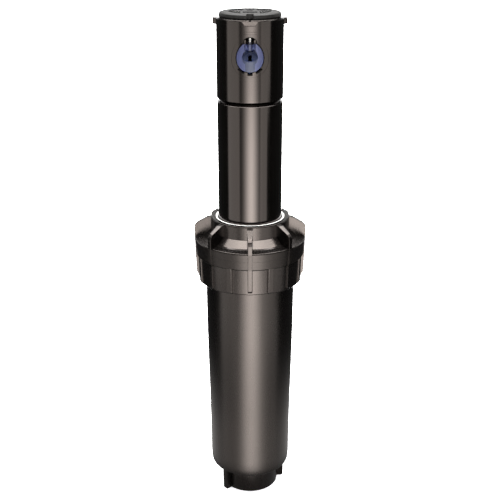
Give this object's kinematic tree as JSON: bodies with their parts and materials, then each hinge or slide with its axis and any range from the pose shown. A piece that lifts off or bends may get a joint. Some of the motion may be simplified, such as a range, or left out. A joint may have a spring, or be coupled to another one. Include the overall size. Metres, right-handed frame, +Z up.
{
  "type": "pop up sprinkler",
  "caption": "Gear-driven pop-up lawn sprinkler, shown risen: a ribbed cap on a buried case, and a riser with a turning nozzle turret.",
  "frame": {"origin": "centre of the inlet boss's bottom face, on the sprinkler's axis", "axes": "+Z up the sprinkler's axis; the nozzle looks along -Y at rest"},
  "size_m": [0.064, 0.064, 0.29],
  "materials": {
    "housing_plastic": "satin black moulding",
    "rubber": "matte black",
    "nozzle_plastic": "blue",
    "pale_plastic": "off-white",
    "gear_plastic": "natural acetal",
    "screen_plastic": "grey",
    "steel": "stainless"
  },
  "bodies": {
    "case": {"case_body": "housing_plastic", "body_cap": "housing_plastic", "seal_ring": "pale_plastic", "wiper_seal": "rubber", "retraction_spring": "steel"},
    "riser": {"riser_tube": "housing_plastic", "filter_screen": "screen_plastic", "stator": "gear_plastic", "gear_case_base": "gear_plastic", "gear_case_cover": "gear_plastic", "gear_post": "steel", "turret_bearing": "pale_plastic", "thrust_washer": "steel", "turret_seal": "rubber", "bypass_spring": "steel"},
    "turret": {"drive_shaft": "gear_plastic", "fixed_stop": "gear_plastic", "turret_shell": "housing_plastic", "nozzle_port": "housing_plastic", "nozzle": "nozzle_plastic", "rubber_cover": "rubber"},
    "turbine": {"turbine_wheel": "gear_plastic", "turbine_shaft": "steel", "turbine_pinion": "steel"},
    "gear_1": {"compound_gear_1": "gear_plastic"},
    "gear_2": {"compound_gear_2": "gear_plastic"},
    "gear_3": {"compound_gear_3": "gear_plastic"},
    "nozzle_screw": {"nozzle_screw": "steel"},
    "arc_sleeve": {"arc_sleeve": "gear_plastic"},
    "arc_adjuster": {"arc_adjuster": "pale_plastic"},
    "trip": {"trip_rod": "steel", "trip_lever": "gear_plastic", "diverter_flap": "gear_plastic"},
    "bypass": {"bypass_valve": "gear_plastic"}
  },
  "joints": [
    {"name": "riser_slide", "type": "slide", "parent": "case", "child": "riser", "axis": [0, 0, 1], "range_m": [-0.106, 0], "deforming": ["retraction_spring"]},
    {"name": "turret_turn", "type": "hinge", "parent": "riser", "child": "turret", "pos_m": [0, 0, 0.2422], "axis": [0, 0, 1], "range_deg": [-175, 175]},
    {"name": "gear_3_spin", "type": "hinge", "parent": "riser", "child": "gear_3", "pos_m": [0.006, 0, 0.187], "axis": [0, 0, 1], "continuous": true},
    {"name": "gear_2_spin", "type": "hinge", "parent": "riser", "child": "gear_2", "pos_m": [0, 0, 0.18], "axis": [0, 0, 1], "continuous": true},
    {"name": "gear_1_spin", "type": "hinge", "parent": "riser", "child": "gear_1", "pos_m": [0.006, 0, 0.174], "axis": [0, 0, 1], "continuous": true},
    {"name": "turbine_spin", "type": "hinge", "parent": "riser", "child": "turbine", "pos_m": [0, 0, 0.161], "axis": [0, 0, 1], "continuous": true},
    {"name": "nozzle_screw_slide", "type": "slide", "parent": "turret", "child": "nozzle_screw", "axis": [0, 0, 1], "range_m": [-0.0035, 0]},
    {"name": "arc_set", "type": "hinge", "parent": "turret", "child": "arc_sleeve", "pos_m": [0, 0, 0.24], "axis": [0, 0, 1], "range_deg": [0, 300]},
    {"name": "arc_adjuster_turn", "type": "hinge", "parent": "turret", "child": "arc_adjuster", "pos_m": [0.00778, 0.00778, 0.27], "axis": [0, 0, 1], "range_deg": [-1020, 0]},
    {"name": "reverse_toggle", "type": "hinge", "parent": "riser", "child": "trip", "pos_m": [0.0145, 0, 0.19], "axis": [0, 0, 1], "range_deg": [0, 44]},
    {"name": "bypass_lift", "type": "slide", "parent": "riser", "child": "bypass", "axis": [0, 0, 1], "range_m": [0, 0.0022], "stiffness_N_per_m": 20, "springref_m": -0.001, "deforming": ["bypass_spring"]}
  ],
  "couplings": [
    {"joint": "gear_3_spin", "follows": "turret_turn", "ratio": 4.75},
    {"joint": "gear_2_spin", "follows": "turret_turn", "ratio": -13.062},
    {"joint": "gear_1_spin", "follows": "turret_turn", "ratio": 35.922},
    {"joint": "turbine_spin", "follows": "turret_turn", "ratio": -98.785},
    {"joint": "arc_adjuster_turn", "follows": "arc_set", "ratio": -3.4}
  ]
}
